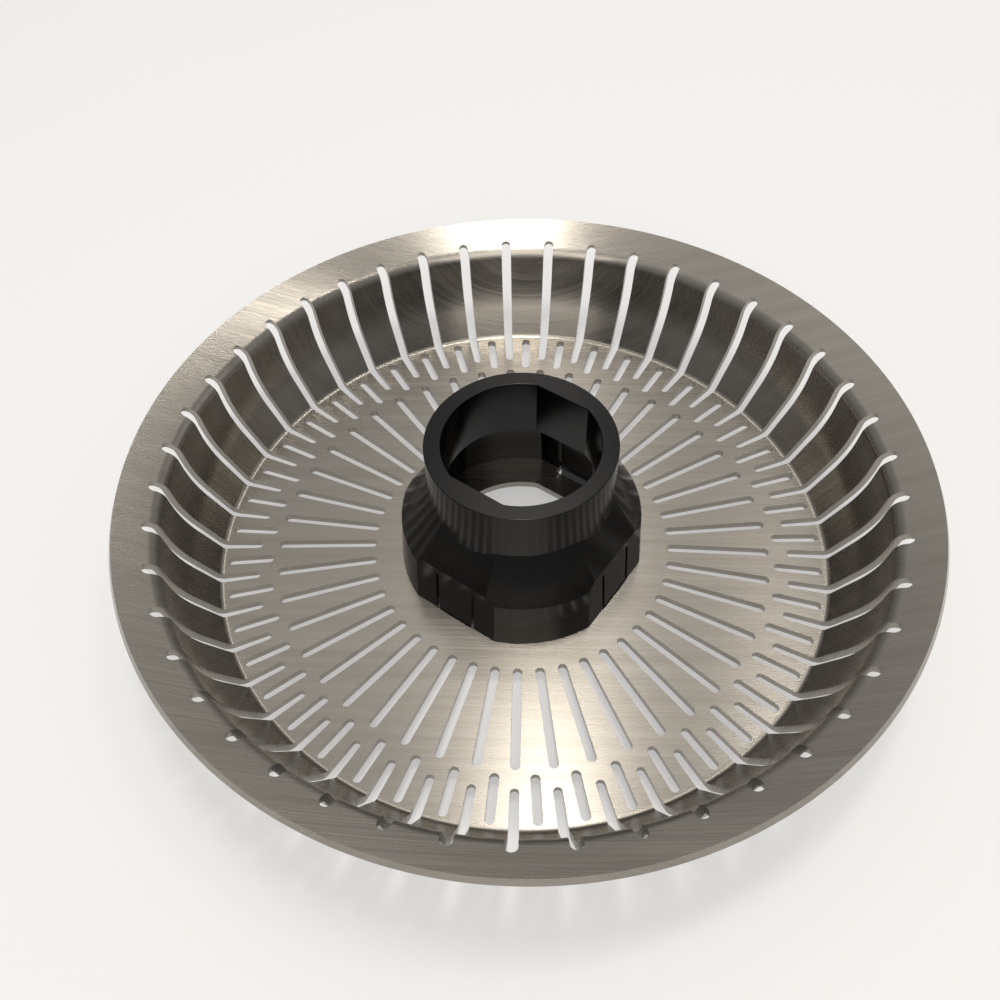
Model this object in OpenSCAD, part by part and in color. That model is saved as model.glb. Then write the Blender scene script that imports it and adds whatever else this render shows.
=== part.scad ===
// Strainer for an electric citrus press
// A slotted stainless dish with a black drive hub clipped into its floor
// Millimetres, +Z up, origin on the axis at the level of the tongue tips

/* [Dish sheet] */
// Thickness of the stainless sheet
sheet_t = 1.5; // [1.2:0.1:1.8]
// Outer radius of the rim
rim_r = 79.6; // [72:0.2:88]
// Width of the wall and the flange together, seen from above
side_w = 16.7; // [15:0.1:20]
// Inside radius of the bend between floor and wall
bend_r = 1.2; // [0.8:0.1:1.8]
// Length of the straight lower wall along its slope
lower_wall_len = 6.57; // [5:0.1:7]
// Slope of the lower wall above the horizontal
lower_wall_deg = 58; // [56:1:60]
// Radius of the hollow curve of the upper wall
upper_wall_r = 22.6; // [20:0.2:24]
// Slope of the wall just under the shoulder
upper_wall_deg = 82; // [80:1:84]
// Length of the steep straight wall under the shoulder
steep_wall_len = 2.6; // [1:0.2:4]
// Radius of the rolled shoulder on its upper face
shoulder_r = 3.2; // [2.6:0.1:3.6]
// Upward slope of the flange
flange_deg = 27; // [20:1:30]
// Chamfer on both corners of the sheared rim edge
rim_chamfer = 0.4; // [0.2:0.05:0.5]

/* [Slots] */
// Number of slots in each ring
slot_count = 45; // [36:1:48]
// Width of the slots in the floor
slot_w = 1.88; // [1.6:0.02:2.1]
// Inner end of the long floor slots
long_slot_start_r = 30.75; // [29:0.25:34]
// Solid ring between the long and the short floor slots
slot_ring_gap = 0.85; // [0.8:0.05:4]
// Length of the short floor slots
short_slot_len = 9.7; // [6:0.1:10]
// Solid floor between the short slots and the bend
short_slot_edge_w = 0.5; // [0.4:0.1:3]
// Reach of the wall slots onto the floor
wall_slot_floor_len = 7.5; // [5:0.1:9]
// Solid flange between the wall slots and the rim
wall_slot_edge_w = 5.5; // [4:0.1:6]
// Width of the wall slots where they end on the flange
wall_slot_outer_w = 2.3; // [1.9:0.05:2.6]

/* [Hub skirt] */
// Radius of the skirt where it stands on the floor
skirt_r = 25.2; // [24.8:0.1:25.6]
// Height of the skirt up to the foot of the cone
skirt_h = 11.4; // [10.5:0.1:12]
// Draft of the skirt and its flats
skirt_draft_deg = 4.3; // [3:0.1:5]
// Distance of the flats from the axis at the floor
flat_d = 23.3; // [23:0.1:23.6]
// Wall thickness of the hollow skirt and cone
hub_wall = 1.7; // [1.4:0.1:2]
// Angle of the first flat about the axis
hub_turn_deg = 56.4; // [0:0.2:90]

/* [Hub cone and collar] */
// Radius of the collar
collar_r = 18.45; // [18:0.05:19]
// Height at which the cone meets the collar
cone_top_h = 20.5; // [19.5:0.1:21.5]
// Height of the hub above the floor
hub_h = 31.5; // [29:0.5:34]
// Chamfer round the top of the collar
collar_chamfer = 0.5; // [0.3:0.1:1]
// Height at which a facet starts over its flat
facet_start_h = 12.7; // [12.2:0.1:13.2]

/* [Drive bore] */
// Radius of the bore
bore_r = 15.2; // [14.8:0.1:15.8]
// Distance of the two bore flats from the axis
bore_flat_d = 14; // [13.8:0.05:14.6]
// Height above the floor at which the bore starts
bore_start_h = 18.7; // [17:0.1:19]
// Chamfer round the mouth of the bore
bore_chamfer = 0.5; // [0.2:0.1:0.7]

/* [Tongues and windows] */
// Distance between the centres of the two slits of a tongue
slit_pitch = 8.6; // [8:0.1:9]
// Width of the slits
slit_w = 0.7; // [0.5:0.05:0.9]
// Height of the slits above the floor
slit_h = 11; // [9:0.25:11.2]
// Reach of the hook past the tongue
hook_reach = 1; // [0.6:0.1:1.3]
// Depth of the hook under the sheet
hook_depth = 2.6; // [2:0.1:3.2]
// Play between tongue and window
window_play = 0.15; // [0.1:0.05:0.3]
// Radius of the window corners
window_corner_r = 0.4; // [0.2:0.1:0.6]
// Radius of the shaft hole in the sheet
shaft_hole_r = 16.4; // [16.1:0.1:17.5]
// Distance of the shaft hole's two flats from the axis
shaft_hole_flat_d = 15.2; // [14.8:0.1:15.5]

/* [Hidden] */
$fn = 96;
// Cutters run past the faces that they cut by this much
past = 1;
// Level of the floor's upper face
floor_z = hook_depth + sheet_t;
// Steps through the three bends of the section
bend_steps = 4;
wall_steps = 4;
shoulder_steps = 6;
// Radius at which the flat floor ends and the bend starts
floor_r = rim_r - side_w;
// Angle between neighbouring slots of one ring
slot_step = 360 / slot_count;
// Ends of the slots, set in from the rim and from the floor's edge
short_slot_end_r = floor_r - short_slot_edge_w;
short_slot_start_r = short_slot_end_r - short_slot_len;
long_slot_end_r = short_slot_start_r - slot_ring_gap;
wall_slot_start_r = floor_r - wall_slot_floor_len;
wall_slot_end_r = rim_r - wall_slot_edge_w;
// Tongue width between its slits
tongue_w = slit_pitch - slit_w;
// Height of the hook's blunt nose, and how far its lead-in leans in to the tip
hook_nose_h = hook_depth / 4;
hook_lead = hook_reach / 2;
// Half the length of the slits' cutter, across the skirt's wall
slit_reach = 3 * hub_wall;

// Points along the upper face of the sheet, radius and height above the floor
bend_end = [floor_r + bend_r * sin(lower_wall_deg), bend_r * (1 - cos(lower_wall_deg))];
lower_end = bend_end + lower_wall_len * [cos(lower_wall_deg), sin(lower_wall_deg)];
upper_mid = lower_end + upper_wall_r * [-sin(lower_wall_deg), cos(lower_wall_deg)];
upper_end = upper_mid + upper_wall_r * [sin(upper_wall_deg), -cos(upper_wall_deg)];
steep_end = upper_end + steep_wall_len * [cos(upper_wall_deg), sin(upper_wall_deg)];
shoulder_mid = steep_end + shoulder_r * [sin(upper_wall_deg), -cos(upper_wall_deg)];
shoulder_end = shoulder_mid + shoulder_r * [-sin(flange_deg), cos(flange_deg)];
// The flange runs up to the rim's upper chamfer; the chamfer under it reaches furthest out
rim_overhang = (sheet_t - rim_chamfer) * sin(flange_deg) + rim_chamfer * cos(flange_deg);
flange_len = (rim_r - rim_overhang - shoulder_end.x) / cos(flange_deg);

// A wall slot's sides stand this share of its end radius from its middle line
side_share = 0.995;
// Angle that a wall slot spans, and the centres of its round ends
wall_slot_deg = 2 * asin(wall_slot_outer_w / 2 / wall_slot_end_r);
wall_slot_from = wall_slot_start_r / (1 - sin(wall_slot_deg / 2));
wall_slot_to = wall_slot_end_r / (1 + sin(wall_slot_deg / 2));
// Levels between which the slots' outer ends are cut through the flange
wall_slot_top = shoulder_end.y + (wall_slot_end_r - shoulder_end.x) * tan(flange_deg) + past;
wall_slot_low = wall_slot_top - sheet_t / cos(flange_deg) - wall_slot_outer_w * tan(flange_deg) - 2 * past;

// Foot and slope of the cone, and the facet's place where it starts
cone_foot_r = skirt_r - skirt_h * tan(skirt_draft_deg);
cone_deg = atan((cone_foot_r - collar_r) / (cone_top_h - skirt_h));
facet_d = flat_d - facet_start_h * tan(skirt_draft_deg);

// Directions stepped through a bend, from one slope to another
function turn(from_deg, to_deg, steps) =
    [for (i = [0 : steps]) from_deg + (to_deg - from_deg) * i / steps];

// Points of a hollow or a crowned bend, on a circle about its centre
function hollow(centre, r, from_deg, to_deg, steps) =
    [for (a = turn(from_deg, to_deg, steps)) centre + r * [sin(a), -cos(a)]];
function crown(centre, r, from_deg, to_deg, steps) =
    [for (a = turn(from_deg, to_deg, steps)) centre + r * [-sin(a), cos(a)]];

// One face of the sheet from floor to rim, a depth below the upper face
function face_points(depth) = concat(
    hollow([floor_r, bend_r], bend_r + depth, 0, lower_wall_deg, bend_steps),
    hollow(upper_mid, upper_wall_r + depth, lower_wall_deg, upper_wall_deg, wall_steps),
    crown(shoulder_mid, shoulder_r - depth, upper_wall_deg, flange_deg, shoulder_steps)
);

// Section of the sheet from its middle to the rim, floor at height zero
module sheet_section() {
    along = [cos(flange_deg), sin(flange_deg)];
    down = [sin(flange_deg), -cos(flange_deg)];
    tip = shoulder_end + flange_len * along;
    polygon(concat(
        [[0, 0]],
        face_points(0),
        [
            tip,
            tip + rim_chamfer * (along + down),
            tip + (sheet_t - rim_chamfer) * down + rim_chamfer * along,
            tip + sheet_t * down
        ],
        reverse(face_points(sheet_t)),
        [[0, -sheet_t]]
    ));
}

// A list of points in the opposite order
function reverse(list) = [for (i = [len(list) - 1 : -1 : 0]) list[i]];

// A straight radial slot with round ends
module slot_shape(start_r, end_r) {
    r = slot_w / 2;
    for (x = [start_r + r, end_r - r])
        translate([x, 0])
            circle(r);
    translate([start_r + r, -r])
        square([end_r - start_r - slot_w, slot_w]);
}

// A full ring of straight slots, the first turned from the -Y direction
module slot_ring(start_r, end_r, turn) {
    for (i = [0 : slot_count - 1])
        rotate(-90 + turn + i * slot_step)
            slot_shape(start_r, end_r);
}

// The ring of wall slots: sectors that widen with the radius, as the drawn sheet stretches
module wall_slots() {
    for (i = [0 : slot_count - 1])
        rotate(-90 + i * slot_step) {
            rotate(-wall_slot_deg / 2)
                rotate_extrude(angle = wall_slot_deg)
                    translate([wall_slot_from, -sheet_t - past])
                        square([wall_slot_to - wall_slot_from, wall_slot_top + sheet_t + past]);
            slot_end(wall_slot_from, -sheet_t - past, past);
            slot_end(wall_slot_to, wall_slot_low, wall_slot_top);
        }
}

// The round end of a wall slot, between two levels
module slot_end(r, low, top) {
    translate([r, 0, low])
        cylinder(r = r * sin(wall_slot_deg / 2) / side_share, h = top - low);
}

// A round hole with two flats that face along X
module two_flat_shape(r, d) {
    intersection() {
        circle(r);
        square([2 * d, 2 * r + past], center = true);
    }
}

// The window that a tongue passes through, its outer edge on the +X side
module window_shape() {
    w = slit_pitch + slit_w;
    from = flat_d - hub_wall - hook_reach - window_play;
    to = flat_d + window_play;
    c = window_corner_r;
    translate([from + c, -w / 2])
        square([to - from - 2 * c, w]);
    translate([from, c - w / 2])
        square([to - from, w - 2 * c]);
    for (x = [from + c, to - c], y = [c - w / 2, w / 2 - c])
        translate([x, y])
            circle(c, $fn = 24);
}

module strainer_dish() {
    color([0.62, 0.60, 0.57])
        translate([0, 0, floor_z])
            difference() {
                rotate_extrude()
                    sheet_section();
                floor_cuts();
                wall_slots();
            }
}

// Everything that is cut through the flat floor
module floor_cuts() {
    translate([0, 0, -sheet_t - past])
        linear_extrude(sheet_t + 2 * past) {
            slot_ring(long_slot_start_r, long_slot_end_r, 0);
            slot_ring(short_slot_start_r, short_slot_end_r, slot_step / 2);
            rotate(hub_turn_deg)
                two_flat_shape(shaft_hole_r, shaft_hole_flat_d);
            for (i = [0 : 3])
                rotate(hub_turn_deg + 90 * i)
                    window_shape();
        }
}

// Everything on the far side of a plane that leans in as it rises
module beyond_plane(d, h, lean) {
    translate([d, 0, h])
        rotate([0, -lean, 0])
            translate([0, -2 * skirt_r, -3 * skirt_r])
                cube([2 * skirt_r, 4 * skirt_r, 6 * skirt_r]);
}

// What the four flats and the facets above them take off, drawn in by an inset
module flats_and_facets(inset) {
    for (i = [0 : 3])
        rotate(hub_turn_deg + 90 * i) {
            beyond_plane(flat_d - inset / cos(skirt_draft_deg), 0, skirt_draft_deg);
            beyond_plane(facet_d - inset / cos(cone_deg), facet_start_h, cone_deg);
        }
}

// Outer form of the hub: skirt, cone and collar, with flats and facets outside the collar
module hub_form() {
    difference() {
        rotate_extrude()
            polygon([
                [0, 0],
                [skirt_r, 0],
                [cone_foot_r, skirt_h],
                [collar_r, cone_top_h],
                [collar_r, hub_h - collar_chamfer],
                [collar_r - collar_chamfer, hub_h],
                [0, hub_h]
            ]);
        difference() {
            flats_and_facets(0);
            translate([0, 0, -past])
                cylinder(r = collar_r, h = hub_h + 2 * past);
        }
    }
}

// The hollow under the hub, one wall inside its outer form
module hub_hollow() {
    flat_side = hub_wall / cos(skirt_draft_deg);
    cone_in = hub_wall / cos(cone_deg);
    draft = tan(skirt_draft_deg);
    // Height at which the hollow's cone and skirt meet
    knee = skirt_h + (flat_side - cone_in) / (tan(cone_deg) - draft);
    difference() {
        rotate_extrude()
            polygon([
                [0, -past],
                [skirt_r - flat_side + past * draft, -past],
                [skirt_r - flat_side - knee * draft, knee],
                [collar_r - cone_in + (cone_top_h - bore_start_h) * tan(cone_deg), bore_start_h],
                [0, bore_start_h]
            ]);
        flats_and_facets(hub_wall);
    }
}

// A tongue through its window, hooked under the sheet
module tongue() {
    inner = flat_d - hub_wall / cos(skirt_draft_deg);
    rotate([90, 0, 0])
        linear_extrude(tongue_w, center = true)
            polygon([
                [inner, 0],
                [inner, -sheet_t - hook_depth],
                [flat_d - hook_lead, -sheet_t - hook_depth],
                [flat_d + hook_reach, -sheet_t - hook_nose_h],
                [flat_d + hook_reach, -sheet_t],
                [flat_d, -sheet_t],
                [flat_d, 0],
                [(inner + flat_d) / 2, hub_wall / 2]
            ]);
}

module hub() {
    color([0.09, 0.09, 0.10])
        translate([0, 0, floor_z]) {
            difference() {
                hub_form();
                hub_hollow();
                rotate(hub_turn_deg)
                    bore();
                slits();
            }
            for (i = [0 : 3])
                rotate(hub_turn_deg + 90 * i)
                    tongue();
        }
}

// The drive bore with two flats and a chamfered mouth
module bore() {
    translate([0, 0, bore_start_h - past])
        linear_extrude(hub_h - bore_start_h + 2 * past)
            two_flat_shape(bore_r, bore_flat_d);
    // The chamfer's cone and its two slopes run on past the top face
    rise = bore_chamfer + past;
    translate([0, 0, hub_h - bore_chamfer])
        intersection() {
            cylinder(r1 = bore_r, r2 = bore_r + rise, h = rise);
            rotate([90, 0, 0])
                linear_extrude(4 * bore_r, center = true)
                    polygon([
                        [-bore_flat_d, 0],
                        [bore_flat_d, 0],
                        [bore_flat_d + rise, rise],
                        [-bore_flat_d - rise, rise]
                    ]);
        }
}

// Two slits beside each tongue
module slits() {
    for (i = [0 : 3], side = [-1, 1])
        rotate(hub_turn_deg + 90 * i)
            translate([flat_d - slit_reach, side * slit_pitch / 2 - slit_w / 2, -past])
                cube([2 * slit_reach, slit_w, slit_h + past]);
}

strainer_dish();
hub();
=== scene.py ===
"""Juicer filter: a slotted stainless strainer dish with a gloss black drive hub clipped into its floor.

The dish is drawn again here as one smooth sheet with broken edges, and the hub as a turned
and sliced moulding with rounded edges. Millimetres inside the classes, metres in the meshes.
"""

from __future__ import annotations

import logging
import math
from dataclasses import dataclass

import bmesh
import bpy
from mathutils import Matrix, Vector

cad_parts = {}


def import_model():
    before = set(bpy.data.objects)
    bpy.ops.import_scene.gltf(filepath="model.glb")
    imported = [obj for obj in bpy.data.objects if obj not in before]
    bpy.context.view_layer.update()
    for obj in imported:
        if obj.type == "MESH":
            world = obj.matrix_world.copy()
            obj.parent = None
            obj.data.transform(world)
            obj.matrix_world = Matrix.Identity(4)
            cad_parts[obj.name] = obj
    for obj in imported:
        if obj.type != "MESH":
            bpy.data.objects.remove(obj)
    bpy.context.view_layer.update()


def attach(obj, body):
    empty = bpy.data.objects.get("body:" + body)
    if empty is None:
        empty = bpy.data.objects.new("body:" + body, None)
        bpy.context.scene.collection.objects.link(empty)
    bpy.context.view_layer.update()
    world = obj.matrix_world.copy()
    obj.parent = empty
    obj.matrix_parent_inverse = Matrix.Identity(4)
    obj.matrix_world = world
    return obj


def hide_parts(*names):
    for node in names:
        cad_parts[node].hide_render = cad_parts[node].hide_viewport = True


LOG = logging.getLogger("juicer_filter")

MM = 0.001


def linear(hex_colour: str) -> tuple[float, float, float, float]:
    """Turn an sRGB hex colour into linear values.

    Args:
        hex_colour: Six hex digits, with or without a leading hash sign.

    Returns:
        Linear red, green and blue, and an alpha of 1.
    """
    digits = hex_colour.lstrip("#")
    parts = [int(digits[i : i + 2], 16) / 255 for i in (0, 2, 4)]
    low = [p / 12.92 if p <= 0.04045 else ((p + 0.055) / 1.055) ** 2.4 for p in parts]
    return (low[0], low[1], low[2], 1.0)


def add_node(tree: bpy.types.NodeTree, kind: str, settings: dict | None = None, **links: object) -> bpy.types.Node:
    """Add one shader node with its settings and its links.

    Args:
        tree: The node tree that takes the node.
        kind: Blender's name for the node type.
        settings: Properties of the node by name, and sockets' values by their names.
        links: Sockets by name with blanks as underscores, each given another node's output.

    Returns:
        The new node.
    """
    node = tree.nodes.new(kind)
    for name, value in (settings or {}).items():
        if name in node.inputs:
            node.inputs[name].default_value = value
        else:
            setattr(node, name, value)
    for name, output in links.items():
        tree.links.new(output, node.inputs[name.replace("_", " ")])
    return node


def deselect_all() -> None:
    """Leave nothing selected, since operators act on all that is."""
    if bpy.context.object and bpy.context.object.mode != "OBJECT":
        bpy.ops.object.mode_set(mode="OBJECT")
    bpy.ops.object.select_all(action="DESELECT")


def make_active(piece: bpy.types.Object) -> None:
    """Select one piece alone and make it the active one."""
    deselect_all()
    piece.select_set(True)
    bpy.context.view_layer.objects.active = piece


def merge_and_clean(piece: bpy.types.Object) -> None:
    """Merge vertices that lie together and drop faces without an area."""
    make_active(piece)
    bpy.ops.object.mode_set(mode="EDIT")
    bpy.ops.mesh.select_all(action="SELECT")
    bpy.ops.mesh.remove_doubles(threshold=0.002 * MM)
    bpy.ops.mesh.dissolve_degenerate(threshold=0.002 * MM)
    bpy.ops.mesh.normals_make_consistent(inside=False)
    bpy.ops.object.mode_set(mode="OBJECT")


def shade(piece: bpy.types.Object, sharp_deg: float) -> None:
    """Shade a piece smooth, with its large faces' normals carried to their edges.

    Args:
        piece: The piece.
        sharp_deg: Edges with a larger angle stay sharp.
    """
    make_active(piece)
    bpy.ops.object.shade_smooth_by_angle(angle=math.radians(sharp_deg))
    even = piece.modifiers.new("even_normals", "WEIGHTED_NORMAL")
    even.mode = "FACE_AREA_WITH_ANGLE"
    even.weight = 60
    even.keep_sharp = True
    bpy.ops.object.modifier_apply(modifier=even.name)


@dataclass(frozen=True)
class BrushedStainless:
    """Ferritic stainless sheet, belt brushed in the flat before it was drawn.

    The belt's fine parallel scratches spread each highlight at right angles to them, which
    gives the eye a long soft streak and a fine line texture.
    """

    name: str = "brushed_stainless"
    colour: str = "#a9a49c"
    dull_colour: str = "#918c84"
    roughness: float = 0.27
    roughness_swing: float = 0.04
    anisotropy: float = 0.9
    scratch_pitch_mm: float = 0.25
    scratch_length_mm: float = 38.0
    scratch_depth: float = 0.006

    def material(self) -> bpy.types.Material:
        """Build the material; scratches run along X and are drawn a little coarser than real ones."""
        material = bpy.data.materials.new(self.name)
        material.use_nodes = True
        tree = material.node_tree
        tree.nodes.clear()
        place = add_node(tree, "ShaderNodeTexCoord").outputs["Object"]
        pitch = 1 / (self.scratch_pitch_mm * MM)
        length = 1 / (self.scratch_length_mm * MM)
        lines = add_node(
            tree,
            "ShaderNodeMapping",
            {"Scale": (length, pitch, 40.0)},
            Vector=place,
        ).outputs["Vector"]
        scratches = add_node(
            tree, "ShaderNodeTexNoise", {"Scale": 1.0, "Detail": 3.0, "Roughness": 0.6}, Vector=lines
        ).outputs["Fac"]
        broad = add_node(
            tree,
            "ShaderNodeMapping",
            {"Scale": (length / 2, pitch / 9, 30.0)},
            Vector=place,
        ).outputs["Vector"]
        bands = add_node(
            tree, "ShaderNodeTexNoise", {"Scale": 1.0, "Detail": 2.0}, Vector=broad
        ).outputs["Fac"]
        tint = add_node(tree, "ShaderNodeMix", {"data_type": "RGBA"})
        tree.links.new(bands, tint.inputs[0])
        tint.inputs[6].default_value = linear(self.dull_colour)
        tint.inputs[7].default_value = linear(self.colour)
        rough = add_node(
            tree,
            "ShaderNodeMapRange",
            {
                "From Min": 0.3,
                "From Max": 0.7,
                "To Min": self.roughness - self.roughness_swing,
                "To Max": self.roughness + self.roughness_swing,
            },
            Value=scratches,
        ).outputs["Result"]
        relief = add_node(
            tree,
            "ShaderNodeBump",
            {"Strength": self.scratch_depth, "Distance": 0.2 * MM},
            Height=scratches,
        ).outputs["Normal"]
        along = add_node(
            tree, "ShaderNodeTangent", {"direction_type": "UV_MAP", "uv_map": StrainerDish.brush_map}
        ).outputs["Tangent"]
        steel = add_node(
            tree,
            "ShaderNodeBsdfPrincipled",
            {"Metallic": 1.0, "Anisotropic": self.anisotropy},
            Base_Color=tint.outputs[2],
            Roughness=rough,
            Normal=relief,
            Tangent=along,
        )
        add_node(tree, "ShaderNodeOutputMaterial", None, Surface=steel.outputs["BSDF"])
        return material


@dataclass(frozen=True)
class GlossBlackMoulding:
    """Black ABS from a polished mould: a sharp clear gloss over near black, with a faint waviness."""

    name: str = "gloss_black_moulding"
    colour: str = "#050506"
    worn_colour: str = "#08080a"
    roughness: float = 0.17
    ripple_mm: float = 9.0
    grain_mm: float = 0.5

    def material(self) -> bpy.types.Material:
        """Build the material."""
        material = bpy.data.materials.new(self.name)
        material.use_nodes = True
        tree = material.node_tree
        tree.nodes.clear()
        place = add_node(tree, "ShaderNodeTexCoord").outputs["Object"]
        ripple = add_node(
            tree, "ShaderNodeTexNoise", {"Scale": 1 / (self.ripple_mm * MM), "Detail": 1.0}, Vector=place
        ).outputs["Fac"]
        grain = add_node(
            tree, "ShaderNodeTexNoise", {"Scale": 1 / (self.grain_mm * MM), "Detail": 2.0}, Vector=place
        ).outputs["Fac"]
        tint = add_node(tree, "ShaderNodeMix", {"data_type": "RGBA"})
        tree.links.new(grain, tint.inputs[0])
        tint.inputs[6].default_value = linear(self.colour)
        tint.inputs[7].default_value = linear(self.worn_colour)
        rough = add_node(
            tree,
            "ShaderNodeMapRange",
            {"To Min": self.roughness - 0.03, "To Max": self.roughness + 0.05},
            Value=grain,
        ).outputs["Result"]
        relief = add_node(
            tree, "ShaderNodeBump", {"Strength": 0.2, "Distance": 0.1 * MM}, Height=ripple
        ).outputs["Normal"]
        plastic = add_node(
            tree,
            "ShaderNodeBsdfPrincipled",
            {"IOR": 1.46, "Specular IOR Level": 0.4},
            Base_Color=tint.outputs[2],
            Roughness=rough,
            Normal=relief,
        )
        add_node(tree, "ShaderNodeOutputMaterial", None, Surface=plastic.outputs["BSDF"])
        return material


@dataclass(frozen=True)
class PaleTable:
    """Matt pale table top that shows as near white and keeps the object's shadow, drawn paler."""

    name: str = "pale_table"
    colour: str = "#f6f5f3"
    roughness: float = 0.8
    shadow_fill: float = 0.4

    def material(self) -> bpy.types.Material:
        """Build the material."""
        material = bpy.data.materials.new(self.name)
        material.use_nodes = True
        tree = material.node_tree
        tree.nodes.clear()
        matt = add_node(
            tree,
            "ShaderNodeBsdfPrincipled",
            {"Base Color": linear(self.colour), "Roughness": self.roughness},
        )
        white = add_node(tree, "ShaderNodeEmission", {"Color": linear("#ffffff"), "Strength": 1.0})
        path = add_node(tree, "ShaderNodeLightPath").outputs
        seen = path["Is Camera Ray"]
        for ray in ("Is Glossy Ray", "Is Transmission Ray"):
            either = add_node(tree, "ShaderNodeMath", {"operation": "MAXIMUM"})
            tree.links.new(seen, either.inputs[0])
            tree.links.new(path[ray], either.inputs[1])
            seen = either.outputs[0]
        share = add_node(tree, "ShaderNodeMath", {"operation": "MULTIPLY"})
        tree.links.new(seen, share.inputs[0])
        share.inputs[1].default_value = self.shadow_fill
        look = add_node(tree, "ShaderNodeMixShader")
        tree.links.new(share.outputs[0], look.inputs[0])
        tree.links.new(matt.outputs["BSDF"], look.inputs[1])
        tree.links.new(white.outputs["Emission"], look.inputs[2])
        add_node(tree, "ShaderNodeOutputMaterial", None, Surface=look.outputs["Shader"])
        return material


@dataclass(frozen=True)
class Slot:
    """A radial slot with round ends, in mm from the axis."""

    start: float
    end: float
    width: float = 1.88
    spread: bool = False

    @property
    def half_angle(self) -> float:
        """Half the angle between the sides of a slot that widens with the radius."""
        return math.asin(self.width / 2 / self.end)

    @property
    def centres(self) -> tuple[float, float]:
        """Distances of the two end circles' centres."""
        if self.spread:
            s = math.sin(self.half_angle)
            return self.start / (1 - s), self.end / (1 + s)
        return self.start + self.width / 2, self.end - self.width / 2

    def end_radius(self, centre: float) -> float:
        """Radius of an end circle."""
        return centre - self.start if centre < (self.start + self.end) / 2 else self.end - centre

    def half_opening(self, r: float) -> float:
        """Half the angle that the slot takes at a radius.

        Args:
            r: Distance from the axis in mm.

        Returns:
            The angle in radians, 0 where there is no slot.
        """
        if r <= self.start or r >= self.end:
            return 0.0
        first, last = self.centres
        side = self.half_angle if self.spread else math.asin(min(1.0, self.width / 2 / r))
        for centre, inside in ((first, r < first), (last, r > last)):
            if inside:
                c = self.end_radius(centre)
                cosine = (r * r + centre * centre - c * c) / (2 * r * centre)
                return min(side, math.acos(max(-1.0, min(1.0, cosine))))
        return side

    def stations(self, steps: int) -> list[float]:
        """Radii at which the outline is drawn, closest together round the ends."""
        first, last = self.centres
        found = []
        for i in range(steps + 1):
            turn = math.cos(math.pi / 2 * i / steps)
            found.append(first - self.end_radius(first) * turn)
            found.append(last + self.end_radius(last) * turn)
        return found


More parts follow.
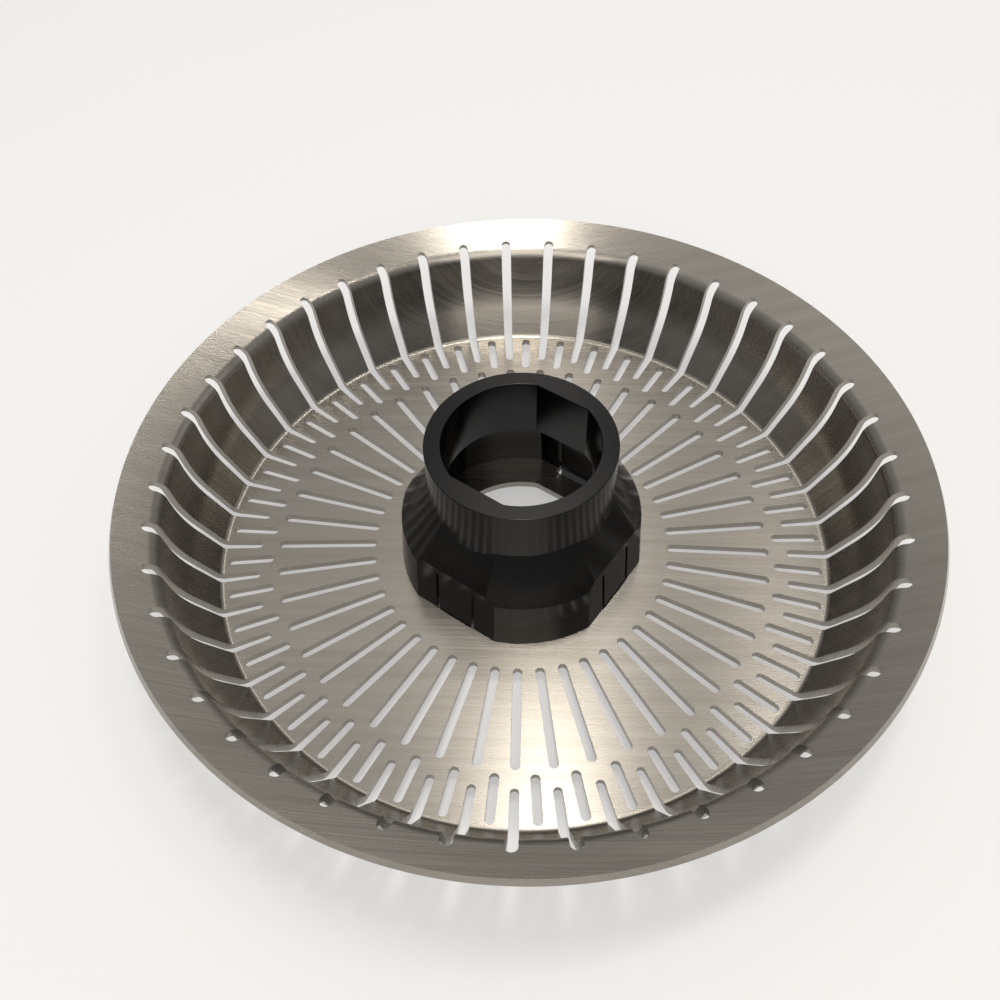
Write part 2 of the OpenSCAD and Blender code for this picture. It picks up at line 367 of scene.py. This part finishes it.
@dataclass
class StrainerDish:
    """The stamped sheet: floor, bend, wall, shoulder and flange, with its three rings of slots."""

    brush_map = "brush"

    sheet: float = 1.5
    floor_level: float = 4.1
    rim_r: float = 79.6
    floor_r: float = 62.9
    bend_r: float = 1.2
    lower_wall_len: float = 6.57
    lower_wall_deg: float = 58.0
    upper_wall_r: float = 22.6
    upper_wall_deg: float = 82.0
    steep_wall_len: float = 2.6
    shoulder_r: float = 3.2
    flange_deg: float = 27.0
    slot_count: int = 45
    shaft_hole_r: float = 16.4
    shaft_hole_flat: float = 15.2
    hub_turn_deg: float = 56.4
    edge_break: float = 0.1

    def __post_init__(self) -> None:
        """Set the slots of one sector and the corner points of the section."""
        self.long_slot = Slot(30.75, 51.85)
        self.short_slot = Slot(52.7, 62.4)
        self.wall_slot = Slot(55.4, 74.1, 2.3, spread=True)
        low, high, flat = (math.radians(a) for a in (self.lower_wall_deg, self.upper_wall_deg, self.flange_deg))
        self.low, self.high, self.flat = low, high, flat
        self.bend_mid = Vector((self.floor_r, self.bend_r))
        self.bend_end = self.bend_mid + self.bend_r * Vector((math.sin(low), -math.cos(low)))
        self.lower_end = self.bend_end + self.lower_wall_len * Vector((math.cos(low), math.sin(low)))
        self.upper_mid = self.lower_end + self.upper_wall_r * Vector((-math.sin(low), math.cos(low)))
        self.upper_end = self.upper_mid + self.upper_wall_r * Vector((math.sin(high), -math.cos(high)))
        self.steep_end = self.upper_end + self.steep_wall_len * Vector((math.cos(high), math.sin(high)))
        self.shoulder_mid = self.steep_end + self.shoulder_r * Vector((math.sin(high), -math.cos(high)))
        self.shoulder_end = self.shoulder_mid + self.shoulder_r * Vector((-math.sin(flat), math.cos(flat)))

    def height_and_slope(self, r: float) -> tuple[float, float]:
        """Height above the floor and slope of the sheet's upper face.

        Args:
            r: Distance from the axis in mm.

        Returns:
            Height in mm and slope in radians.
        """
        if r <= self.floor_r:
            return 0.0, 0.0
        if r <= self.bend_end.x:
            slope = math.asin((r - self.bend_mid.x) / self.bend_r)
            return self.bend_r * (1 - math.cos(slope)), slope
        if r <= self.lower_end.x:
            return self.bend_end.y + (r - self.bend_end.x) * math.tan(self.low), self.low
        if r <= self.upper_end.x:
            slope = math.asin((r - self.upper_mid.x) / self.upper_wall_r)
            return self.upper_mid.y - self.upper_wall_r * math.cos(slope), slope
        if r <= self.steep_end.x:
            return self.upper_end.y + (r - self.upper_end.x) * math.tan(self.high), self.high
        if r <= self.shoulder_end.x:
            slope = math.asin((self.shoulder_mid.x - r) / self.shoulder_r)
            return self.shoulder_mid.y + self.shoulder_r * math.cos(slope), slope
        return self.shoulder_end.y + (r - self.shoulder_end.x) * math.tan(self.flat), self.flat

    def rim_top_r(self) -> float:
        """Radius of the rim's upper corner; the lower corner stands further out."""
        return self.rim_r - self.sheet * math.sin(self.flat)

    def rows(self) -> list[float]:
        """Radii of all rows of the mesh, from the shaft hole to the rim."""
        found = [self.shaft_hole_r, 18.0, 20.5, 23.5, 27.0, self.floor_r, self.rim_top_r()]
        found += self.long_slot.stations(7)
        found += self.short_slot.stations(7)
        found += self.wall_slot.stations(7)
        found += [34.5, 38.5, 42.5, 46.5, 58.8]
        for start, mid, radius, a, b, steps in (
            (self.bend_end, self.bend_mid, self.bend_r, 0.0, self.low, 7),
            (self.upper_end, self.upper_mid, self.upper_wall_r, self.low, self.high, 12),
        ):
            found += [mid.x + radius * math.sin(a + (b - a) * i / steps) for i in range(steps + 1)]
        steps = 9
        turn = [self.high + (self.flat - self.high) * i / steps for i in range(steps + 1)]
        found += [self.shoulder_mid.x - self.shoulder_r * math.sin(a) for a in turn]
        found += [
            self.bend_end.x + (self.lower_end.x - self.bend_end.x) * i / 4 for i in range(1, 4)
        ]
        found += [self.shoulder_end.x + 1.0, (self.wall_slot.end + self.rim_top_r()) / 2]
        found.sort()
        kept = [found[0]]
        for r in found[1:]:
            if r - kept[-1] > 0.012:
                kept.append(r)
        return kept

    def hole_radius(self, azimuth: float) -> float:
        """Radius of the two-flat shaft hole in one direction."""
        across = abs(math.cos(azimuth - math.radians(self.hub_turn_deg)))
        return min(self.shaft_hole_r, self.shaft_hole_flat / max(across, 1e-6))

    def corner(self, r: float, azimuth: float, depth: float) -> Vector:
        """A point of the sheet, in metres.

        Args:
            r: Radius on the upper face in mm.
            azimuth: Direction in radians.
            depth: Distance below the upper face, square to it, in mm.

        Returns:
            The point.
        """
        height, slope = self.height_and_slope(r)
        if r < 20.5:
            share = (20.5 - r) / (20.5 - self.shaft_hole_r)
            r = r + (self.hole_radius(azimuth) - self.shaft_hole_r) * share
        out = r + depth * math.sin(slope)
        up = self.floor_level + height - depth * math.cos(slope)
        return Vector((out * math.cos(azimuth), out * math.sin(azimuth), up)) * MM

    def build(self) -> bpy.types.Object:
        """Draw one sector's mesh, repeat it round the axis, close it and break its edges.

        Returns:
            The finished sheet.
        """
        rows = self.rows()
        columns = 2
        half_sector = math.pi / self.slot_count
        mesh = bmesh.new()
        for sector in range(self.slot_count):
            centre = -math.pi / 2 + sector * 2 * half_sector
            for side in (-1, 1):
                self._add_strip(mesh, rows, columns, centre, side, half_sector)
        bmesh.ops.remove_doubles(mesh, verts=mesh.verts[:], dist=0.002 * MM)
        bmesh.ops.recalc_face_normals(mesh, faces=mesh.faces[:])
        data = bpy.data.meshes.new("strainer_sheet")
        mesh.to_mesh(data)
        mesh.free()
        sheet = bpy.data.objects.new("strainer_sheet", data)
        bpy.context.scene.collection.objects.link(sheet)
        self._cut_windows(sheet)
        self._break_edges(sheet)
        self._map_brushing(sheet)
        return sheet

    def _add_strip(
        self,
        mesh: bmesh.types.BMesh,
        rows: list[float],
        columns: int,
        centre: float,
        side: int,
        half_sector: float,
    ) -> None:
        """Add half a sector: both faces of the sheet and the walls of its slots."""
        upper, lower, near_slot, far_slot = [], [], [], []
        for r in rows:
            near = max(self.long_slot.half_opening(r), self.wall_slot.half_opening(r))
            far = self.short_slot.half_opening(r)
            span = half_sector - near - far
            turns = [centre + side * (near + span * i / columns) for i in range(columns + 1)]
            upper.append([mesh.verts.new(self.corner(r, a, 0.0)) for a in turns])
            lower.append([mesh.verts.new(self.corner(r, a, self.sheet)) for a in turns])
            near_slot.append(near > 0)
            far_slot.append(far > 0)
        for i in range(len(rows) - 1):
            for j in range(columns):
                mesh.faces.new((upper[i][j], upper[i + 1][j], upper[i + 1][j + 1], upper[i][j + 1]))
                mesh.faces.new((lower[i][j], lower[i][j + 1], lower[i + 1][j + 1], lower[i + 1][j]))
            if near_slot[i] or near_slot[i + 1]:
                mesh.faces.new((upper[i][0], lower[i][0], lower[i + 1][0], upper[i + 1][0]))
            if far_slot[i] or far_slot[i + 1]:
                mesh.faces.new((upper[i][-1], upper[i + 1][-1], lower[i + 1][-1], lower[i][-1]))
        for i in (0, len(rows) - 1):
            for j in range(columns):
                mesh.faces.new((upper[i][j], upper[i][j + 1], lower[i][j + 1], lower[i][j]))

    def _cut_windows(self, sheet: bpy.types.Object) -> None:
        """Cut the four windows that the hub's tongues pass through."""
        inner, outer, width = 20.45, 23.45, 9.3
        for i in range(4):
            deselect_all()
            bpy.ops.mesh.primitive_cube_add(size=1.0, location=(0, 0, 0))
            box = bpy.context.object
            turn = Matrix.Rotation(math.radians(self.hub_turn_deg + 90 * i), 4, "Z")
            place = Matrix.Translation(Vector(((inner + outer) / 2, 0, self.floor_level - self.sheet / 2)) * MM)
            size = Matrix.Diagonal(Vector((outer - inner, width, 3 * self.sheet)) * MM).to_4x4()
            box.data.transform(turn @ place @ size)
            cut = sheet.modifiers.new("window", "BOOLEAN")
            cut.operation = "DIFFERENCE"
            cut.solver = "EXACT"
            cut.object = box
            make_active(sheet)
            bpy.ops.object.modifier_apply(modifier=cut.name)
            bpy.data.objects.remove(box)

    def _break_edges(self, sheet: bpy.types.Object) -> None:
        """Break all sheared edges a little, as tumbling leaves them, and shade the drawn faces smooth."""
        bevel = sheet.modifiers.new("edge_break", "BEVEL")
        bevel.width = self.edge_break * MM
        bevel.segments = 1
        bevel.limit_method = "ANGLE"
        bevel.angle_limit = math.radians(50)
        make_active(sheet)
        bpy.ops.object.modifier_apply(modifier=bevel.name)
        shade(sheet, 30.0)

    def _map_brushing(self, sheet: bpy.types.Object) -> None:
        """Lay a flat map over the sheet whose first direction crosses the brushing."""
        layer = sheet.data.uv_layers.new(name=self.brush_map)
        for loop in sheet.data.loops:
            point = sheet.data.vertices[loop.vertex_index].co
            layer.data[loop.index].uv = (point.y / (200 * MM) + 0.5, point.x / (200 * MM) + 0.5)


@dataclass
class DriveHub:
    """The moulded hub: a drafted skirt with four flats, a cone, a collar and a bore with two flats.

    It stands on the dish's floor and is held by four hooked tongues between slits in the flats.
    """

    floor_level: float = 4.1
    turn_deg: float = 56.4
    skirt_r: float = 25.2
    skirt_h: float = 11.4
    draft_deg: float = 4.3
    flat_d: float = 23.3
    wall: float = 1.7
    collar_r: float = 18.45
    cone_top_h: float = 20.5
    height: float = 31.5
    facet_start_h: float = 12.7
    bore_r: float = 15.2
    bore_flat_d: float = 14.0
    bore_start_h: float = 18.7
    mouth_round: float = 0.55
    edge_round: float = 0.28
    slit_pitch: float = 8.6
    slit_width: float = 0.7
    slit_h: float = 11.0
    sheet: float = 1.5
    hook_depth: float = 2.6
    hook_reach: float = 1.0
    segments: int = 192

    def __post_init__(self) -> None:
        """Work out the foot and slope of the cone and the facets' place."""
        self.draft = math.radians(self.draft_deg)
        self.cone_foot_r = self.skirt_r - self.skirt_h * math.tan(self.draft)
        self.cone = math.atan((self.cone_foot_r - self.collar_r) / (self.cone_top_h - self.skirt_h))
        self.facet_d = self.flat_d - self.facet_start_h * math.tan(self.draft)

    def _lathe(self, stations: list[tuple[float, float]]) -> bpy.types.Object:
        """Turn a closed body on the axis.

        Args:
            stations: Radius and height above the floor of each ring, from the first to the last.

        Returns:
            The body, with flat ends.
        """
        deselect_all()
        (r, z), *rest = stations
        bpy.ops.mesh.primitive_circle_add(
            vertices=self.segments, radius=r * MM, location=(0, 0, (z + self.floor_level) * MM)
        )
        body = bpy.context.object
        bpy.ops.object.transform_apply(location=True, rotation=False, scale=False)
        bpy.ops.object.mode_set(mode="EDIT")
        bpy.ops.mesh.select_all(action="SELECT")
        for next_r, next_z in rest:
            bpy.ops.mesh.extrude_region_move(
                TRANSFORM_OT_translate={"value": (0, 0, (next_z - z) * MM)}
            )
            bpy.ops.transform.resize(value=(next_r / r, next_r / r, 1.0), center_override=(0, 0, 0))
            r, z = next_r, next_z
        bpy.ops.mesh.select_all(action="SELECT")
        bpy.ops.mesh.fill_holes(sides=0)
        bpy.ops.mesh.normals_make_consistent(inside=False)
        bpy.ops.object.mode_set(mode="OBJECT")
        return body

    def _slice(self, body: bpy.types.Object, turn_deg: float, distance: float, height: float, lean: float) -> None:
        """Cut a body off along a plane that leans in as it rises, and close the cut.

        Args:
            body: The body.
            turn_deg: Direction that the plane faces, about the axis.
            distance: The plane's distance from the axis at the given height.
            height: Height above the floor in mm.
            lean: Lean from upright in radians.
        """
        turn = math.radians(turn_deg)
        out = Vector((math.cos(turn), math.sin(turn), 0.0))
        make_active(body)
        bpy.ops.object.mode_set(mode="EDIT")
        bpy.ops.mesh.select_all(action="SELECT")
        bpy.ops.mesh.bisect(
            plane_co=(out * distance + Vector((0, 0, height + self.floor_level))) * MM,
            plane_no=out * math.cos(lean) + Vector((0, 0, math.sin(lean))),
            use_fill=True,
            clear_outer=True,
            threshold=0.0005 * MM,
        )
        bpy.ops.object.mode_set(mode="OBJECT")

    def _flats_and_facets(self, body: bpy.types.Object, inset: float) -> None:
        """Slice the four flats and the facets above them, drawn in by an inset."""
        for i in range(4):
            turn = self.turn_deg + 90 * i
            self._slice(body, turn, self.flat_d - inset / math.cos(self.draft), 0.0, self.draft)
            self._slice(body, turn, self.facet_d - inset / math.cos(self.cone), self.facet_start_h, self.cone)

    @staticmethod
    def _combine(body: bpy.types.Object, other: bpy.types.Object, operation: str) -> None:
        """Join another body to a body, or take it away, and drop the other one."""
        combine = body.modifiers.new("combine", "BOOLEAN")
        combine.operation = operation
        combine.solver = "EXACT"
        combine.object = other
        make_active(body)
        bpy.ops.object.modifier_apply(modifier=combine.name)
        bpy.data.objects.remove(other)

    def _outer_form(self) -> bpy.types.Object:
        """Skirt and cone with their flats and facets, and the collar that rises out of them."""
        inside_collar = self.cone_top_h + 1.5
        end_r = self.collar_r - 1.5 * math.tan(self.cone)
        body = self._lathe(
            [(self.skirt_r, 0.0), (self.cone_foot_r, self.skirt_h), (end_r, inside_collar)]
        )
        self._flats_and_facets(body, 0.0)
        self._combine(body, self._lathe([(self.collar_r, 5.0), (self.collar_r, self.height)]), "UNION")
        return body

    def _hollow(self) -> bpy.types.Object:
        """The space under the hub, one wall inside its outer form."""
        side, cone_side = self.wall / math.cos(self.draft), self.wall / math.cos(self.cone)
        slope, cone_slope = math.tan(self.draft), math.tan(self.cone)
        knee = self.skirt_h + (side - cone_side) / (cone_slope - slope)
        top_r = self.collar_r - cone_side + (self.cone_top_h - self.bore_start_h) * cone_slope
        space = self._lathe(
            [
                (self.skirt_r - side + slope, -1.0),
                (self.skirt_r - side - knee * slope, knee),
                (top_r, self.bore_start_h),
            ]
        )
        self._flats_and_facets(space, self.wall)
        return space

    def _bore(self) -> bpy.types.Object:
        """The drive bore with its two flats."""
        space = self._lathe([(self.bore_r, self.bore_start_h - 1.0), (self.bore_r, self.height + 1.0)])
        for side in (0, 180):
            self._slice(space, self.turn_deg + side, self.bore_flat_d, 0.0, 0.0)
        return space

    def _slit(self, turn_deg: float, side: int) -> bpy.types.Object:
        """One slit beside a tongue."""
        deselect_all()
        bpy.ops.mesh.primitive_cube_add(size=1.0, location=(0, 0, 0))
        slit = bpy.context.object
        size = Vector((6 * self.wall, self.slit_width, self.slit_h + 1.0))
        place = Vector((self.flat_d, side * self.slit_pitch / 2, (self.slit_h - 1.0) / 2 + self.floor_level))
        turn = Matrix.Rotation(math.radians(turn_deg), 4, "Z")
        slit.data.transform(turn @ Matrix.Translation(place * MM) @ Matrix.Diagonal(size * MM).to_4x4())
        return slit

    def _tongue(self, turn_deg: float) -> bpy.types.Object:
        """One tongue below the floor's top, with its hook under the sheet."""
        inner = self.flat_d - self.wall / math.cos(self.draft)
        tip = -self.sheet - self.hook_depth
        outline = (
            (inner, 0.0),
            (inner, tip),
            (self.flat_d - self.hook_reach / 2, tip),
            (self.flat_d + self.hook_reach, -self.sheet - self.hook_depth / 4),
            (self.flat_d + self.hook_reach, -self.sheet),
            (self.flat_d, -self.sheet),
            (self.flat_d, 0.0),
            ((inner + self.flat_d) / 2, self.wall / 2),
        )
        half = (self.slit_pitch - self.slit_width) / 2
        deselect_all()
        bpy.ops.mesh.primitive_circle_add(vertices=len(outline), fill_type="NGON", location=(0, 0, 0))
        tongue = bpy.context.object
        for vertex, (x, z) in zip(tongue.data.vertices, outline):
            vertex.co = Vector((x, -half, z + self.floor_level)) * MM
        bpy.ops.object.mode_set(mode="EDIT")
        bpy.ops.mesh.select_all(action="SELECT")
        bpy.ops.mesh.extrude_region_move(TRANSFORM_OT_translate={"value": (0, 2 * half * MM, 0)})
        bpy.ops.mesh.select_all(action="SELECT")
        bpy.ops.mesh.normals_make_consistent(inside=False)
        bpy.ops.object.mode_set(mode="OBJECT")
        tongue.data.transform(Matrix.Rotation(math.radians(turn_deg), 4, "Z"))
        return tongue

    def _round_edges(self, hub: bpy.types.Object) -> None:
        """Round the moulded edges, the collar's rim and the bore's mouth more than the rest."""
        top = (self.height + self.floor_level) * MM
        for rim, width, steps in ((False, self.edge_round, 2), (True, self.mouth_round, 4)):
            make_active(hub)
            bpy.ops.object.mode_set(mode="EDIT")
            bpy.ops.mesh.select_mode(type="EDGE")
            bpy.ops.mesh.select_all(action="DESELECT")
            bpy.ops.mesh.edges_select_sharp(sharpness=math.radians(11))
            mesh = bmesh.from_edit_mesh(hub.data)
            for edge in mesh.edges:
                on_top = all(v.co.z > top - 0.01 * MM for v in edge.verts)
                flat_faces = len(edge.link_faces) == 2 and edge.calc_face_angle(0.0) > math.radians(60)
                if on_top != rim or (rim and not flat_faces):
                    edge.select = False
            bmesh.update_edit_mesh(hub.data)
            bpy.ops.mesh.bevel(offset=width * MM, segments=steps, clamp_overlap=True, loop_slide=False)
            bpy.ops.mesh.select_mode(type="VERT")
            bpy.ops.object.mode_set(mode="OBJECT")

    def build(self) -> bpy.types.Object:
        """Cut, join and round the hub.

        Returns:
            The finished hub.
        """
        hub = self._outer_form()
        hub.name = hub.data.name = "drive_hub"
        self._combine(hub, self._hollow(), "DIFFERENCE")
        self._combine(hub, self._bore(), "DIFFERENCE")
        for i in range(4):
            turn = self.turn_deg + 90 * i
            for side in (-1, 1):
                self._combine(hub, self._slit(turn, side), "DIFFERENCE")
            self._combine(hub, self._tongue(turn), "UNION")
        merge_and_clean(hub)
        self._round_edges(hub)
        shade(hub, 38.0)
        return hub


@dataclass(frozen=True)
class PhotoCamera:
    """Where the photo was taken from, as solved from the slots' ends and the rim.

    Pixel values are those of a square picture 1000 pixels wide.
    """

    picture_px: float = 1000.0
    focal_px: float = 989.9
    middle_px: tuple[float, float] = (475.5, 556.4)
    floor_centre_px: tuple[float, float] = (520.9, 541.4)
    elevation_deg: float = 53.764
    azimuth_deg: float = 271.16
    roll_deg: float = 0.02
    distance_mm: float = 211.17
    floor_level_mm: float = 4.1
    sensor_mm: float = 36.0

    def add(self) -> bpy.types.Object:
        """Add the camera and make it the scene's.

        Returns:
            The camera.
        """
        lift, turn = math.radians(self.elevation_deg), math.radians(self.azimuth_deg)
        back = Vector(
            (math.cos(lift) * math.cos(turn), math.cos(lift) * math.sin(turn), math.sin(lift))
        )
        right = Vector((-math.sin(turn), math.cos(turn), 0.0))
        ahead = -back
        down = ahead.cross(right)
        level = Matrix((right, down, ahead))
        toward = Vector(
            (
                (self.floor_centre_px[0] - self.middle_px[0]) / self.focal_px,
                (self.floor_centre_px[1] - self.middle_px[1]) / self.focal_px,
                1.0,
            )
        ).normalized()
        aim = Vector((0.0, 0.0, 1.0)).rotation_difference(toward).to_matrix()
        roll = Matrix.Rotation(math.radians(self.roll_deg), 3, "Z")
        picture = aim @ roll @ level
        axes = Matrix((picture[0], -picture[1], -picture[2])).transposed()
        data = bpy.data.cameras.new("camera")
        camera = bpy.data.objects.new("camera", data)
        bpy.context.scene.collection.objects.link(camera)
        data.sensor_width = self.sensor_mm
        data.lens = self.sensor_mm * self.focal_px / self.picture_px
        data.shift_x = (self.picture_px / 2 - self.middle_px[0]) / self.picture_px
        data.shift_y = (self.middle_px[1] - self.picture_px / 2) / self.picture_px
        data.clip_start, data.clip_end = 1 * MM, 60.0
        camera.matrix_world = axes.to_4x4()
        camera.location = (back * self.distance_mm + Vector((0, 0, self.floor_level_mm))) * MM
        bpy.context.scene.camera = camera
        return camera


@dataclass(frozen=True)
class SoftBox:
    """A rectangular studio light aimed at the object."""

    name: str
    azimuth_deg: float
    elevation_deg: float
    distance: float
    width: float
    height: float
    power: float
    colour: str = "#fffaf2"

    def add(self) -> bpy.types.Object:
        """Add the light."""
        data = bpy.data.lights.new(self.name, "AREA")
        data.shape = "RECTANGLE"
        data.size, data.size_y = self.width, self.height
        data.energy = self.power
        data.color = linear(self.colour)[:3]
        light = bpy.data.objects.new(self.name, data)
        bpy.context.scene.collection.objects.link(light)
        lift, turn = math.radians(self.elevation_deg), math.radians(self.azimuth_deg)
        away = Vector(
            (math.cos(lift) * math.cos(turn), math.cos(lift) * math.sin(turn), math.sin(lift))
        )
        light.location = away * self.distance
        light.rotation_mode = "QUATERNION"
        light.rotation_quaternion = away.to_track_quat("Z", "Y")
        return light


class Studio:
    """The pale table, the plain lights and the room around them."""

    lights = (
        SoftBox("ceiling_lamp", 72.0, 86.6, 0.9, 0.1, 0.24, 1.75),
        SoftBox("small_lamp", 30.0, 70.0, 0.9, 0.07, 0.07, 0.42),
        SoftBox("window_gap", 90.0, 54.0, 1.2, 0.16, 0.5, 0.24),
        SoftBox("back_softbox", 94.0, 64.0, 1.1, 0.95, 0.42, 0.72),
        SoftBox("right_softbox", 25.0, 30.0, 1.1, 0.54, 0.5, 0.3),
        SoftBox("front_softbox", 270.0, 44.0, 1.3, 1.0, 0.75, 5.4),
    )
    horizon = "#828181"
    zenith = "#bfbebd"

    def build(self) -> None:
        """Add the table, the lights and the world."""
        deselect_all()
        bpy.ops.mesh.primitive_plane_add(size=40.0, location=(0, 0, 0))
        table = bpy.context.object
        table.name = "table"
        table.data.materials.append(PaleTable().material())
        for light in self.lights:
            light.add()
        self._surround()

    def _surround(self) -> None:
        """Make the world a plain grey room that grows lighter towards its ceiling."""
        world = bpy.data.worlds.new("room")
        bpy.context.scene.world = world
        world.use_nodes = True
        tree = world.node_tree
        tree.nodes.clear()
        direction = add_node(tree, "ShaderNodeTexCoord").outputs["Generated"]
        height = add_node(tree, "ShaderNodeSeparateXYZ", None, Vector=direction).outputs["Z"]
        tone = add_node(tree, "ShaderNodeMix", {"data_type": "RGBA"})
        tree.links.new(height, tone.inputs[0])
        tone.inputs[6].default_value = linear(self.horizon)
        tone.inputs[7].default_value = linear(self.zenith)
        room = add_node(tree, "ShaderNodeBackground", {"Strength": 1.0}, Color=tone.outputs[2])
        add_node(tree, "ShaderNodeOutputWorld", None, Surface=room.outputs[0])


def main() -> None:
    """Build, dress and light the juicer filter."""
    logging.basicConfig(level=logging.INFO, format="%(name)s: %(message)s")
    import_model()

    PhotoCamera().add()
    Studio().build()

    sheet = StrainerDish().build()
    sheet.data.materials.append(BrushedStainless().material())
    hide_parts("strainer_dish")
    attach(sheet, "root")
    LOG.info("strainer sheet: %d faces", len(sheet.data.polygons))

    hub = DriveHub().build()
    hub.data.materials.append(GlossBlackMoulding().material())
    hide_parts("hub")
    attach(hub, "root")
    LOG.info("drive hub: %d faces", len(hub.data.polygons))

    bpy.context.scene.view_settings.view_transform = "Standard"


if __name__ == "__main__":
    main()
